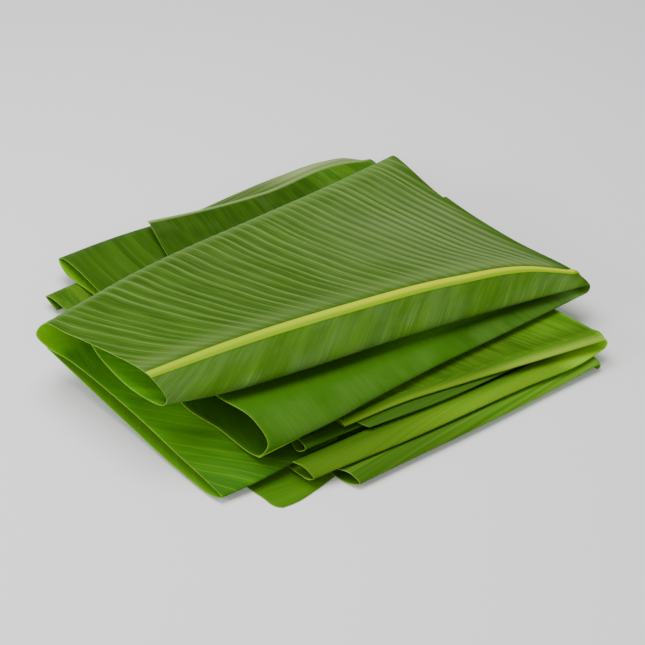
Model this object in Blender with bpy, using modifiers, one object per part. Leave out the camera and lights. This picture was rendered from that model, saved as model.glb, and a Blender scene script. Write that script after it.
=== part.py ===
"""A packet of folded banana leaf: four lengths cut from one leaf, each folded crosswise once
and then rolled along its edges, and laid into each other.

Metres, +Z up, +X along the midrib towards the crosswise folds. The origin is on the floor, under
the middle of the packet's box. Fold lines are written in millimetres.
"""
import math

import bmesh
import bpy
import numpy as np
from mathutils import Vector

MM = 0.001

# The leaf
BLADE_THICKNESS = 0.7
MIDRIB_THICKNESS = 2.0
PLEAT_HEIGHT = 0.45
VEIN_LEAN = 0.13          # how far the veins run towards the tip, as a share of the length
ON_FLOOR = BLADE_THICKNESS / 2

# Grid sizes: columns along a ply, and round the crosswise fold
TOP_COLUMNS = 44          # two to a pleat
LOWER_COLUMNS = 22
PLAIN_COLUMNS = 18
TURN_COLUMNS = 5

LEAF_GREEN = (0.12, 0.27, 0.035)
DEEP_GREEN = (0.06, 0.2, 0.008)
FRESH_GREEN = (0.17, 0.33, 0.012)
SHADE_GREEN = (0.04, 0.13, 0.006)


class Line:
    """A fold line of a sheet. The upper points run from the cut end to the crosswise fold, and
    the lower points from that fold back to the other cut end. It meets the fold's axis at fold_y,
    fold_h above it. The rows are the shares of the way to the next line at which rows of points
    lie, and reach is the share of the upper ply's length that the sheet has up to the next line."""

    def __init__(self, name, upper, fold_y, fold_h, lower, rows, reach=1.0):
        self.name = name
        self.upper = upper
        self.fold_y = fold_y
        self.fold_h = fold_h
        self.lower = lower
        self.rows = rows
        self.reach = reach


# The top length of leaf: the ribbed top ply with its midrib, the ply under it, and, on the way
# back from the crosswise fold, the wide roll below
TOP_AXIS = [(195, -71, 30.5), (166, 35, 37.5), (153, 140, 44)]
TOP_LINES = [
    Line("flap edge", [(-168, 52, 55), (20, 60, 50)], 55, 1.6,
         [(40, 30, 39), (-122, -4, 42)], (0,)),
    Line("flap middle", [(-171, 22, 53), (20, 10, 46)], 0, 1.6,
         [(40, -15, 36.5), (-119, -32, 43.4)], (0,)),
    Line("flap front", [(-166, -18, 49), (20, -28, 43.5)], -45, 1.5,
         [(40, -50, 34.5), (-116, -54, 44.3)], (0, 0.5)),
    Line("roll underside", [(-156.5, -45, 49.5), (-119, -52, 47.5), (-57, -57, 45.5),
                            (25, -57, 41), (103, -60, 35.5)], -67, 1.7,
         [(104, -68, 30.5), (40, -74, 34), (-55, -84, 41.5), (-108, -83, 44)], (0, 0.5)),
    Line("roll front", [(-155, -49.5, 57.5), (-119, -58, 55.5), (-57, -63.5, 53),
                        (25, -63.5, 46.5), (103, -65, 40)], -73, 3.8,
         [(108, -81, 27), (42, -87, 28), (-12, -94, 29), (-65, -101, 30), (-104, -98, 30)],
         (0, 0.5, 0.86)),
    Line("midrib", [(-160, -34, 70), (-98, -34, 70), (0, -37, 66), (95, -39, 56),
                    (163, -46, 45)], -59, 7.5,
         [(108, -74, 24.2), (42, -79, 24.3), (-12, -86, 24), (-65, -94, 23),
          (-109, -93, 17)], (0, 0.08, 0.4, 0.7)),
    Line("top ply, near the midrib", [(-173, 14, 67), (-60, 14, 68), (60, 12, 61)], 0, 7,
         [(107, 0, 26.5), (-12, -20, 26), (-58, -48, 23.6), (-118, -56, 17.4)], (0, 0.34, 0.67)),
    Line("top ply, near the back", [(-183, 48, 62), (-60, 62, 62), (60, 70, 57)], 72, 6.5,
         [(107, 50, 31), (-12, 40, 30), (-129, -12, 26.5)], (0, 0.34, 0.67)),
    Line("back fold, top", [(-189.5, 74, 57), (-89, 99, 57), (15, 115, 55), (94, 127, 53)],
         137, 5, None, (0, 0.5)),
    Line("back fold, outermost", [(-195, 79, 46), (-92, 107, 46), (15, 123, 46), (94, 134, 46)],
         141, 1, None, (0, 0.5)),
    Line("back fold, underside", [(-189, 76, 34), (-92, 100, 37), (15, 114, 39), (94, 124, 41)],
         131, -1.5, None, (0, 0.5), 0.28),
    Line("second ply, back", [(-180, 56, 30.5), (-50, 70, 33), (150, 80, 36)], 80, 0,
         None, (0, 0.5), 0.28),
    Line("second ply, middle", [(-165, -6, 23), (-50, -6, 25), (150, 0, 30)], 0, 0,
         None, (0, 0.5), 0.28),
    Line("second ply, front", [(-154, -60, 14), (-50, -58, 16), (150, -50, 26)], -50, 0,
         None, (0,), 0.28),
    Line("front fold, top", [(-147, -94, 8.5), (-95, -95, 11), (-50, -93, 13.5)], -80, 0,
         None, (0, 0.5), 0.28),
    Line("front fold, outermost", [(-145, -104.5, 5), (-119, -105, 6.3), (-94, -104, 8),
                                   (-50, -101, 11)], -90, 0, None, (0, 0.5), 0.28),
    Line("lower ply, front", [(-148.5, -97, 2.4), (-95, -95, 6), (-50, -92, 8.8)], -80, 0,
         None, (0,), 0.28),
    Line("lower ply, middle", [(-156.5, -58, 2.8), (-100, -57, 6.8), (-50, -56, 8.6)], -50, 0,
         None, (0,), 0.28),
    Line("lower ply, back", [(-166, -3, 8), (-50, 0, 10)], 0, 0, None, (0,), 0.28),
    Line("lower ply, edge", [(-186, 84, 26.5), (-50, 66, 19.5)], 60, 0, None, (0,), 0.28),
]

# The second length: a ply with a ridge at its front fold, and under it the long bright roll
SECOND_AXIS = [(174, -122, 16), (158, -30, 14.4), (164, 184, 20)]
SECOND_LINES = [
    Line("flap edge", [(-46, -80, 19.2), (100, -88, 19.4)], -100, 3.65,
         [(100, -108, 13.6), (-4, -106, 13.6), (-90, -107, 13.2)], (0, 0.5)),
    Line("flap front", [(-44, -95, 19), (9, -94, 19), (124, -106, 19.3)], -112, 3.65,
         [(100, -117, 14), (-4, -116, 14.3), (-87, -116, 14.4)], (0, 0.5)),
    Line("front fold", [(-43, -100.5, 19.6), (9, -100.5, 19.6), (55, -105.5, 19.6),
                        (124, -114, 19.8)], -121, 4.4,
         [(150, -125.5, 11.6), (100, -125.5, 11.6), (-15, -128.5, 11.4), (-40, -128, 11),
          (-66, -127, 10.6), (-84, -125, 8.8)], (0, 0.5)),
    Line("ridge", [(-44, -97, 21.2), (9, -95, 21.4), (55, -99, 21.7), (124, -106, 22)],
         -112, 6.3,
         [(150, -118, 10), (100, -118, 10), (-15, -121, 9.8), (-42, -120, 9.4),
          (-66, -120, 8.9), (-86, -119, 5.2)], (0, 0.2, 0.6)),
    Line("ply, front", [(-47, -45, 20.3), (60, -45, 20.6)], -40, 6,
         [(60, -50, 6.5), (-98, -50, 4.6)], (0, 0.5)),
    Line("ply, middle", [(-49, 45, 21), (60, 45, 21)], 45, 6.5,
         [(60, 45, 6), (-110, 45, 4.8)], (0, 0.5)),
    Line("ply, back", [(-54, 135, 24), (60, 135, 24)], 130, 6,
         [(60, 135, 10), (-119, 138, 12.5)], (0, 0.5)),
    Line("back fold, inner side", [(-47, 188, 28.3), (-5, 181, 28.3), (55, 176, 28.3),
                                   (135, 182, 28)], 176, 6,
         [(90, 182, 12.8), (-53, 187, 13), (-127, 180, 13.8)], (0, 0.5)),
    Line("back fold, outermost", [(-45, 196, 25.8), (-5, 188.5, 25.8), (55, 183.5, 25.8),
                                  (136, 189, 25.8)], 183, 4,
         [(90, 196, 14.8), (0, 199, 15.5), (-53, 201, 17), (-86, 200, 17.5),
          (-125, 197, 17.5)], (0, 0.5)),
    Line("back fold, outer side", [(-44, 185.5, 23.2), (-5, 178, 23.4), (55, 174, 23.4),
                                   (135, 178, 23.4)], 172, 2.2,
         [(90, 187, 16.5), (0, 188, 17.3), (-53, 190, 19.8), (-123, 186, 21.5)], (0, 0.5)),
    Line("turned margin", [(-41, 160, 22.6), (60, 160, 22)], 158, 2.2,
         [(90, 142, 15.3), (0, 138, 16.4), (-53, 130, 18.6), (-118, 120, 20.5)], (0,)),
]
SECOND_TURN = 6

# The third length: two slim rolls between the plies of the second one
THIRD_AXIS = [(159, -104, 16.2), (149, -30, 14.2), (160, 203, 19.5)]
THIRD_LINES = [
    Line("flap edge", [(-34, -86, 16.2), (60, -88, 16.2)], -90, 0.75,
         [(60, -86, 14.8), (-30, -86, 14.9), (-78, -88, 17.2)], (0, 0.5)),
    Line("roll, inner side", [(-29, -103, 15.9), (30, -106, 15.9)], -98, 0.75,
         [(60, -94, 14.8), (-20, -95, 14.8), (-44, -96, 15.6), (-78, -98, 20)], (0, 0.5)),
    Line("roll front", [(-26.5, -108.5, 17.2), (30, -111, 17)], -104.5, 1.5,
         [(60, -100, 13.9), (-20, -101, 14), (-78, -104.5, 17.5)], (0, 0.5)),
    Line("roll, outer side", [(-30, -104.5, 18.1), (30, -107, 17.8)], -99, 2.1,
         [(60, -95, 12.9), (-20, -96, 13), (-82, -101, 14.8)], (0, 0.5)),
    Line("ply, front", [(-36, -84, 17.6), (60, -84, 17.6)], -86, 2.1,
         [(60, -84, 12.8), (-30, -84, 13.2), (-79, -87, 15.8)], (0, 0.5)),
    Line("ply, behind the roll", [(-36, -72, 17.2), (60, -72, 17.2)], -70, 2,
         [(60, -74, 12.4), (-46, -74, 13)], (0, 0.5)),
    Line("ply, middle", [(-36, 30, 14), (60, 30, 13)], 30, 2,
         [(60, 30, 10), (-42, 30, 10)], (0, 0.5)),
    Line("ply, back", [(-36, 130, 18.6), (60, 130, 18.6)], 130, 2,
         [(60, 130, 13), (-40, 130, 14)], (0, 0.5)),
    Line("margin", [(-26, 189, 21.6), (27, 198, 21.6), (86, 205, 21.6), (145, 206.5, 21.6)],
         203, 2, None, (0,)),
]
THIRD_TURN = 7

# The lowest length: the roll at the foot of the packet, and the flat ply it all lies on
LOWEST_AXIS = [(164.5, -128, 4.4), (165, 20, 3.4), (160, 160, 4.4)]
LOWEST_LINES = [
    Line("flap edge", [(-68, -114, 2), (50, -108, 2)], -106, 0.8, None, (0, 0.5)),
    Line("roll underside", [(-62, -135, 1.3), (-23, -133, 1.3), (48, -129.5, 1.3),
                            (126, -124.5, 1.3)], -118, 0.8, None, (0, 0.5)),
    Line("roll front", [(-57.5, -142.5, 4.6), (-23, -140.5, 4.6), (48, -137, 4.6),
                        (126, -131, 4.4)], -128.5, 2.2, None, (0, 0.5)),
    Line("roll top", [(-60, -135, 9.2), (-23, -133.5, 9.6), (48, -131, 8.9), (126, -127, 8.1)],
         -123, 3.7, [(126, -116, ON_FLOOR), (0, -117, ON_FLOOR), (-56, -120.5, ON_FLOOR),
                   (-81, -127.5, ON_FLOOR), (-103, -131.5, ON_FLOOR), (-112, -131, ON_FLOOR)],
         (0, 0.3)),
    Line("ply, front", [(-68, -112, 4.6), (50, -108, 5)], -106, 3.4,
         [(50, -106, ON_FLOOR), (-80, -112, ON_FLOOR), (-119.5, -113, ON_FLOOR)], (0, 0.5)),
    Line("ply, middle", [(-90, -40, 2.2), (50, -40, 2.6)], -30, 2.5,
         [(50, -40, ON_FLOOR), (-131, -45, ON_FLOOR)], (0, 0.5)),
    Line("ply, back", [(-125, 60, 2.8), (50, 60, 3)], 60, 2.5,
         [(50, 60, ON_FLOOR), (-142, 60, ON_FLOOR)], (0, 0.5)),
    Line("back fold, inner side", [(-145, 142, 9), (-131, 143, 8.6), (0, 145, 6)], 138, 2.6,
         [(50, 130, ON_FLOOR), (-148, 132, ON_FLOOR)], (0, 0.5)),
    Line("back fold, top", [(-150, 160, 11.8), (-131, 163, 11.4), (0, 167, 8)], 160, 2.6,
         None, (0, 0.5)),
    Line("back fold, outermost", [(-151, 167, 8.6), (-131, 170, 8.4), (0, 174, 6)], 166, 0.6,
         None, (0, 0.5)),
    Line("back fold, underside", [(-149, 152, 3.6), (0, 152, 3)], 150, -1, None, (0,)),
]
LOWEST_TURN = 7


def smooth_through(points, knots, wanted):
    """Points at the wanted parameters of a smooth curve that meets each point at its knot."""
    points, knots = np.asarray(points, float), np.asarray(knots, float)
    steps = np.diff(knots)
    slopes = np.diff(points, axis=0) / steps[:, None]
    tangents = np.empty_like(points)
    tangents[0], tangents[-1] = slopes[0], slopes[-1]
    if len(points) > 2:
        before, after = steps[:-1, None], steps[1:, None]
        tangents[1:-1] = (slopes[:-1] * after + slopes[1:] * before) / (before + after)
    span = np.clip(np.searchsorted(knots, wanted, side="right") - 1, 0, len(steps) - 1)
    width = steps[span][:, None]
    part = ((np.asarray(wanted) - knots[span]) / steps[span])[:, None]
    start, end = points[span], points[span + 1]
    return (start * (1 + 2 * part) * (1 - part) ** 2 + end * part ** 2 * (3 - 2 * part)
            + width * part * (1 - part) * (tangents[span] * (1 - part)
                                           - tangents[span + 1] * part))


def along(points, shares):
    """Points at the given shares of the length of a smooth curve through the points."""
    gaps = np.linalg.norm(np.diff(np.asarray(points, float), axis=0), axis=1)
    knots = np.concatenate([[0], np.cumsum(gaps)]) / gaps.sum()
    return smooth_through(points, knots, shares)


def fold_axis(axis, y):
    """The point of the crosswise fold's axis at y, and the level direction straight out of it."""
    ends = np.asarray(axis, float)
    share = (y - ends[0, 1]) / (ends[-1, 1] - ends[0, 1])
    middle = (ends[1, 1] - ends[0, 1]) / (ends[-1, 1] - ends[0, 1])
    point = smooth_through(ends, (0, middle, 1), np.array([share]))[0]
    run = ends[-1] - ends[0]
    outward = np.array([run[1], -run[0], 0]) / math.hypot(run[0], run[1])
    return point, outward


def line_points(line, axis, upper, turn, lower):
    """The points of one fold line: on the upper ply, round the crosswise fold and back."""
    centre, outward = fold_axis(axis, line.fold_y)
    height = np.array([0, 0, line.fold_h])
    parts = [along(line.upper + [tuple(centre + height)], upper)]
    for share in turn:
        angle = math.pi * share
        parts.append([centre + math.cos(angle) * height
                      + math.sin(angle) * abs(line.fold_h) * outward])
    if line.lower:
        parts.append(along([tuple(centre - height)] + line.lower, lower))
    else:
        parts.append(np.repeat([centre - height], len(lower), axis=0))
    return np.concatenate(parts)


def row_places(lines):
    """Where the rows of points lie: the line before each, and the share of the way on."""
    places = [(number, share) for number, line in enumerate(lines[:-1]) for share in line.rows]
    return places + [(len(lines) - 1, 0)]


def across(points, places):
    """The rows of points on a smooth curve across the fold lines."""
    gaps = np.sqrt(np.linalg.norm(np.diff(points, axis=0), axis=1))
    knots = np.concatenate([[0], np.cumsum(gaps)])
    ends = np.append(knots, knots[-1])
    wanted = [knots[number] + share * (ends[number + 1] - knots[number])
              for number, share in places]
    return smooth_through(points, knots, np.array(wanted))


def lean(places, midrib, ends):
    """How far each row's points shift along the ply, so that the columns follow the veins."""
    shifts = []
    for number, share in places:
        away = abs(number + share - midrib)
        inside = ends[0] <= number + share <= ends[1]
        shifts.append(VEIN_LEAN * min(away / (ends[1] - midrib), 1) if inside else VEIN_LEAN)
    return shifts


def leaf_sheet(name, lines, axis, colour, collection, upper_columns, lower_columns,
               turn_up_to, midrib=None, pleats=None, on_floor=False):
    """One length of leaf: a grid bent along its fold lines, then given the blade's thickness."""
    upper = np.linspace(0, 1, upper_columns + 1)
    turn = np.arange(1, TURN_COLUMNS) / TURN_COLUMNS
    lower = np.linspace(0, 1, lower_columns + 1)
    columns = len(upper) + len(turn) + len(lower)
    places = row_places(lines)
    last_upper, first_lower = upper_columns, len(upper) + len(turn)
    shifts = lean(places, midrib, pleats) if pleats else [0] * len(places)

    grid = np.empty((columns, len(places), 3))
    for shift in sorted(set(shifts)):
        leaning = upper - shift * np.sin(math.pi * upper)
        rails = np.array([line_points(line, axis, leaning, turn, lower) for line in lines])
        rows = [row for row, own in enumerate(shifts) if own == shift]
        for column in range(columns):
            grid[column, rows] = across(rails[:, column], places)[rows]
    if pleats:
        raise_pleats(grid, places, pleats, last_upper)
    if on_floor:
        grid[first_lower:, :, 2] = ON_FLOOR

    mesh = bpy.data.meshes.new(name)
    sheet = bmesh.new()
    bmesh.ops.create_grid(sheet, x_segments=columns - 1, y_segments=len(places) - 1, size=0.5)
    row_of = sheet.verts.layers.int.new("row")
    column_of = sheet.verts.layers.int.new("column")
    beyond = []
    for vert in sheet.verts:
        column = round((vert.co.x + 0.5) * (columns - 1))
        row = round((vert.co.y + 0.5) * (len(places) - 1))
        vert.co = Vector(grid[column, row]) * MM
        if not has_leaf(lines, places[row], column, last_upper, first_lower, turn_up_to, upper):
            beyond.append(vert)
        vert[row_of] = row
        vert[column_of] = column
    bmesh.ops.delete(sheet, geom=beyond, context="VERTS")
    rib_row = places.index((midrib, 0)) if midrib is not None else None
    ribs = [vert[row_of] == rib_row for vert in sheet.verts]
    bmesh.ops.triangulate(sheet, faces=sheet.faces[:], quad_method="SHORT_EDGE")
    if pleats:
        crease_pleats(sheet, places, pleats)
    sheet.to_mesh(mesh)
    sheet.free()

    leaf = bpy.data.objects.new(name, mesh)
    collection.objects.link(leaf)
    group = leaf.vertex_groups.new(name="midrib")
    share = BLADE_THICKNESS / MIDRIB_THICKNESS
    for vert, is_rib in enumerate(ribs):
        group.add([vert], 1 if is_rib else share, "REPLACE")
    body = leaf.modifiers.new("thickness", "SOLIDIFY")
    body.thickness = MIDRIB_THICKNESS * MM
    body.offset = 0
    body.vertex_group = group.name
    mesh.shade_smooth()
    mesh.materials.append(leaf_material(name, colour))
    return leaf


def has_leaf(lines, place, column, last_upper, first_lower, turn_up_to, upper):
    """Whether the sheet reaches this point of its grid, or was cut or torn off before it."""
    number, share = place
    if column <= last_upper:
        reaches = [lines[max(number - 1, 0)].reach, lines[number].reach]
        reach = max(reaches) if share == 0 else lines[number].reach
        return upper[column] <= reach
    if column < first_lower:
        return number + share <= turn_up_to
    return all(line.lower for line in lines[number:number + (2 if share else 1)])


def raise_pleats(grid, places, pleats, last_upper):
    """Lift and sink the columns of the ribbed ply in turn, along the ply's own normal."""
    for row, (number, share) in enumerate(places):
        if not pleats[0] < number + share < pleats[1]:
            continue
        for column in range(1, last_upper):
            along_ply = grid[column + 1, row] - grid[column - 1, row]
            over_ply = grid[column, row + 1] - grid[column, row - 1]
            normal = np.cross(along_ply, over_ply)
            side = 1 if column % 2 else -1
            grid[column, row] += side * PLEAT_HEIGHT * normal / np.linalg.norm(normal)


def crease_pleats(sheet, places, pleats):
    """Mark the pleats' ridges and troughs as sharp edges."""
    row_of = sheet.verts.layers.int["row"]
    column_of = sheet.verts.layers.int["column"]
    for edge in sheet.edges:
        start, end = edge.verts
        if start[column_of] == end[column_of] and all(
                pleats[0] < sum(places[vert[row_of]]) < pleats[1] for vert in edge.verts):
            edge.smooth = False


def leaf_material(name, colour):
    """A waxy leaf green."""
    material = bpy.data.materials.new(name)
    material.use_nodes = True
    shader = material.node_tree.nodes["Principled BSDF"]
    shader.inputs["Base Color"].default_value = (*colour, 1)
    shader.inputs["Roughness"].default_value = 0.42
    shader.inputs["Metallic"].default_value = 0
    return material


def centre_on_floor(leaves):
    """Shift the sheets so that the middle of the packet's box is over the origin, on the floor."""
    bpy.context.view_layer.update()
    graph = bpy.context.evaluated_depsgraph_get()
    corners = []
    for leaf in leaves:
        corners += [Vector(corner) for corner in leaf.evaluated_get(graph).bound_box]
    low = Vector(min(corner[i] for corner in corners) for i in range(3))
    high = Vector(max(corner[i] for corner in corners) for i in range(3))
    shift = Vector(((low.x + high.x) / 2, (low.y + high.y) / 2, low.z))
    for leaf in leaves:
        for vert in leaf.data.vertices:
            vert.co -= shift


def main():
    for leftover in list(bpy.data.objects):
        bpy.data.objects.remove(leftover)
    collection = bpy.data.collections.new("banana_leaf_packet")
    bpy.context.scene.collection.children.link(collection)
    leaves = [
        leaf_sheet("top_leaf_section", TOP_LINES, TOP_AXIS, LEAF_GREEN, collection,
                   TOP_COLUMNS, LOWER_COLUMNS, 7, 5, (4, 9)),
        leaf_sheet("second_leaf_section", SECOND_LINES, SECOND_AXIS, FRESH_GREEN, collection,
                   PLAIN_COLUMNS, PLAIN_COLUMNS, SECOND_TURN, 3),
        leaf_sheet("third_leaf_section", THIRD_LINES, THIRD_AXIS, SHADE_GREEN, collection,
                   PLAIN_COLUMNS, PLAIN_COLUMNS, THIRD_TURN),
        leaf_sheet("lowest_leaf_section", LOWEST_LINES, LOWEST_AXIS, DEEP_GREEN, collection,
                   PLAIN_COLUMNS, PLAIN_COLUMNS, LOWEST_TURN, on_floor=True),
    ]
    centre_on_floor(leaves)


main()
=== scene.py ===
"""The looks of a packet of folded banana leaf: each length of leaf is bent along the same fold
lines as its solid, finely enough for its pleats, midrib and veins, and gets a leaf's surface."""
import math

import bmesh
import bpy
import numpy as np
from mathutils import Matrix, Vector


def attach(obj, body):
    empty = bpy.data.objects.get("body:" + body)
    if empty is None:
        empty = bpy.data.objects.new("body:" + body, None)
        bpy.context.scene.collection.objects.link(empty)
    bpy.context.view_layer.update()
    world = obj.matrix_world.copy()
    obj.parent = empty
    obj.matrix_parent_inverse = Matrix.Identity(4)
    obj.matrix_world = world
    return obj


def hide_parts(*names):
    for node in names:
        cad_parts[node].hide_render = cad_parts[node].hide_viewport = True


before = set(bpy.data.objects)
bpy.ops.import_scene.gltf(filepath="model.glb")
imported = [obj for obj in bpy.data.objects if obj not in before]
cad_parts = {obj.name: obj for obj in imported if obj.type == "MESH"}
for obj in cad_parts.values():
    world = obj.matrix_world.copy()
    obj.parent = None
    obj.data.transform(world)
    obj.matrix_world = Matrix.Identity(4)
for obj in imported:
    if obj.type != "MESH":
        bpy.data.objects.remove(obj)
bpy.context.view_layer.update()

MM = 0.001

# The leaf, in millimetres
BLADE_THICKNESS = 0.5
MIDRIB_THICKNESS = 1.6
MIDRIB_HALF_WIDTH = 4.3
MIDRIB_HEIGHT = 0.7
ON_FLOOR = BLADE_THICKNESS / 2
PLEAT_SPACING = 8.5
PLEAT_HEIGHT = 0.42
FAINT_PLEATS = 0.07       # the share of that height away from the ribbed top ply
PLEATS_ALONG = ((-340, 0.6), (-120, 1))     # the share at places along the ribbed ply
# Distances over which the pleats grow or fade: behind the midrib, up to the fold that they end
# at, from the crosswise fold, and, for the faint ones, on either side of the midrib
PLEATS_BY_RIB = (5, 30)
PLEATS_BY_END = (-22, -2)
PLEATS_BY_TURN = (2, 30)
FAINT_BY_RIB = (5, 34)
WEAKEST_PLEAT = 0.4
RIDGE_SHARE = 0.45
RIDGE_SHARPNESS = 10

# How far a vein runs towards the tip for each step away from the midrib, at places along the
# blade: behind the midrib, in front of it, and in the roll in front of the second length's ridge
SLOPE_BEHIND = ((-340, 0.1), (-210, 0.05), (-150, 0.06), (-90, 0.2), (0, 0.3))
SLOPE_IN_FRONT = ((-340, 1.1), (-60, 0.9), (60, 0.4))
SLOPE_IN_ROLL = ((0, 8),)
# How far it bends over at the midrib, at places along the top length, and at the back fold
TOP_BEND = ((-340, 24), (-270, 14), (-150, 12), (-90, 2), (0, 0))
NO_BEND = ((0, 0),)
BEND_IN_FRONT = 6
BEND_REACH = 12
FOLD_BEND = 0.0022
FOLD_BEND_FROM = 90
FOLD_BEND_TO = 150
# How the place of a vein that runs lengthwise grows along the blade and away from the midrib
LENGTHWISE = (0.05, -0.5)
# The veins turn to slant this far from the midrib, on the ply under the top one
SLANT_FROM = 240
SLANT_REACH = 60
SLANT_SLOPE = 0.75
# On the lowest length they turn from lengthwise to crossing this far from its first row
CROSSING_FROM = 60
CROSSING_REACH = 60
FAR_OFF = 1000            # further from the midrib than any leaf reaches
# The main veins, how unevenly they are spaced, and how strong they are
VEIN_COUNT = 400
SPACING_RANGE = (0.65, 1.35)
STRENGTH_RANGE = (0.35, 1.15)

# Grid sizes: columns along a ply and round the crosswise fold, and the step between rows
TOP_COLUMNS = 280
LOWER_COLUMNS = 100
PLAIN_COLUMNS = 140
TURN_COLUMNS = 24
ROW_STEP = 3.8
FEWEST_ROWS = 5
# Closer rows by the midrib on each side: how many, how many steps to its half width, and how
# far past them, as a factor, the other rows begin
RIB_ROWS = 5
RIB_STEPS = 4
CLEAR_OF_RIB = 1.15

# A leaf's surface: its lines on the main veins and the thin ones beside them, its gloss, and its
# fine relief, in metres
MAIN_SHARPNESS = 36
SIDE_SHARPNESS = 10
SIDE_LINES = 4            # for each main vein
LEAST_ROUGHNESS = 0.4
ROUGHNESS_SPREAD = 0.2
GLOSS = 0.06
RELIEF_STRENGTH = 0.5
RELIEF_DEPTH = 0.0003
CUT_SHARE = 0.5           # how strongly the edge's pale colour shows on the faces beside it

# The photograph's view, in metres and degrees
CAMERA_TARGET = Vector((-0.002, -0.0327, 0.030))
CAMERA_DISTANCE = 1.275
CAMERA_AZIMUTH = -32
CAMERA_ELEVATION = 37
CAMERA_LENS = 94.9
CAMERA_SENSOR = 36

# The floor, in metres. It lies a little below the leaf, so that the two faces don't mix.
FLOOR_HALF = 4
FLOOR_DROP = 0.0002

# The point that the lights face, in metres, and the strength of the white surround
LIT_POINT = Vector((0, 0, 0.03))
SURROUND_STRENGTH = 0.36


class Line:
    """A fold line of a sheet. The upper points run from the cut end to the crosswise fold, and
    the lower points from that fold back to the other cut end. It meets the fold's axis at fold_y,
    fold_h above it. Reach is the share of the upper ply's length that the sheet has up to the
    next line."""

    def __init__(self, name, upper, fold_y, fold_h, lower, reach=1.0):
        self.name = name
        self.upper = upper
        self.fold_y = fold_y
        self.fold_h = fold_h
        self.lower = lower
        self.reach = reach


# The top length of leaf, with plies below the top one that are cut short of the crosswise fold
SHORT_PLY = 0.28
TOP_AXIS = [(195, -71, 30.5), (166, 35, 37.5), (159, 143, 44)]
TOP_LINES = [
    Line("flap edge", [(-168, 52, 55), (20, 60, 50)], 55, 1.6,
         [(40, 30, 39), (-122, -4, 42)]),
    Line("flap middle", [(-171, 22, 53), (20, 10, 46)], 0, 1.6,
         [(40, -15, 36.5), (-119, -32, 43.4)]),
    Line("flap front", [(-166, -18, 49), (20, -28, 43.5)], -45, 1.5,
         [(40, -50, 34.5), (-116, -54, 44.3)]),
    Line("roll underside", [(-156.5, -45, 49.5), (-119, -52, 47.5), (-57, -57, 45.5),
                            (25, -57, 41), (103, -60, 35.5)], -67, 1.7,
         [(104, -68, 30.5), (40, -74, 34), (-55, -84, 41.5), (-108, -83, 44)]),
    Line("roll front", [(-155, -49.5, 57.5), (-119, -58, 55.5), (-57, -63.5, 53),
                        (25, -63.5, 46.5), (103, -65, 40)], -73, 3.8,
         [(108, -81, 27), (42, -87, 28), (-12, -94, 29), (-65, -101, 30), (-104, -98, 30)]),
    Line("midrib", [(-160, -34, 70), (-98, -34, 70), (0, -37, 66), (95, -39, 56),
                    (163, -46, 45)], -59, 7.5,
         [(108, -74, 24.2), (42, -79, 24.3), (-12, -86, 24), (-65, -94, 23),
          (-109, -93, 17)]),
    Line("top ply, near the midrib", [(-173, 14, 67), (-60, 14, 68), (60, 12, 61)], 0, 7,
         [(107, 0, 26.5), (-12, -20, 26), (-58, -48, 23.6), (-118, -56, 17.4)]),
    Line("top ply, near the back", [(-183, 48, 62), (-60, 62, 62), (60, 70, 57)], 72, 6.5,
         [(107, 50, 31), (-12, 40, 30), (-129, -12, 26.5)]),
    Line("back fold, top", [(-189.5, 74, 57), (-89, 99, 57), (15, 115, 55), (94, 127, 53)],
         139, 8, None),
    Line("back fold, outermost", [(-195, 79, 46), (-92, 107, 46), (15, 123, 46), (94, 134, 46)],
         143, 5, None),
    Line("back fold, underside", [(-189, 76, 34), (-92, 100, 37), (15, 114, 39), (94, 124, 41)],
         131, -1.5, None, SHORT_PLY),
    Line("second ply, back", [(-180, 56, 30.5), (-50, 70, 33), (150, 80, 36)], 80, 0,
         None, SHORT_PLY),
    Line("second ply, middle", [(-165, -6, 23), (-50, -6, 25), (150, 0, 30)], 0, 0,
         None, SHORT_PLY),
    Line("second ply, front", [(-154, -60, 14), (-50, -58, 16), (150, -50, 26)], -50, 0,
         None, SHORT_PLY),
    Line("front fold, top", [(-147, -94, 8.5), (-95, -95, 11), (-50, -93, 13.5)], -80, 0,
         None, SHORT_PLY),
    Line("front fold, outermost", [(-145, -104.5, 5), (-119, -105, 6.3), (-94, -104, 8),
                                   (-50, -101, 11)], -90, 0, None, SHORT_PLY),
    Line("lower ply, front", [(-148.5, -97, 2.4), (-95, -95, 6), (-50, -92, 8.8)], -80, 0,
         None, SHORT_PLY),
    Line("lower ply, middle", [(-156.5, -58, 2.8), (-100, -57, 6.8), (-50, -56, 8.6)], -50, 0,
         None, SHORT_PLY),
    Line("lower ply, back", [(-166, -3, 8), (-50, 0, 10)], 0, 0, None, SHORT_PLY),
    Line("lower ply, edge", [(-186, 84, 26.5), (-50, 66, 19.5)], 60, 0, None, SHORT_PLY),
]
# The line that the pleats end at, and the last one that goes round the crosswise fold, which is
# given for each of the lengths below too
TOP_FOLD = "back fold, outermost"
TOP_TURN = "top ply, near the back"

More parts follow.
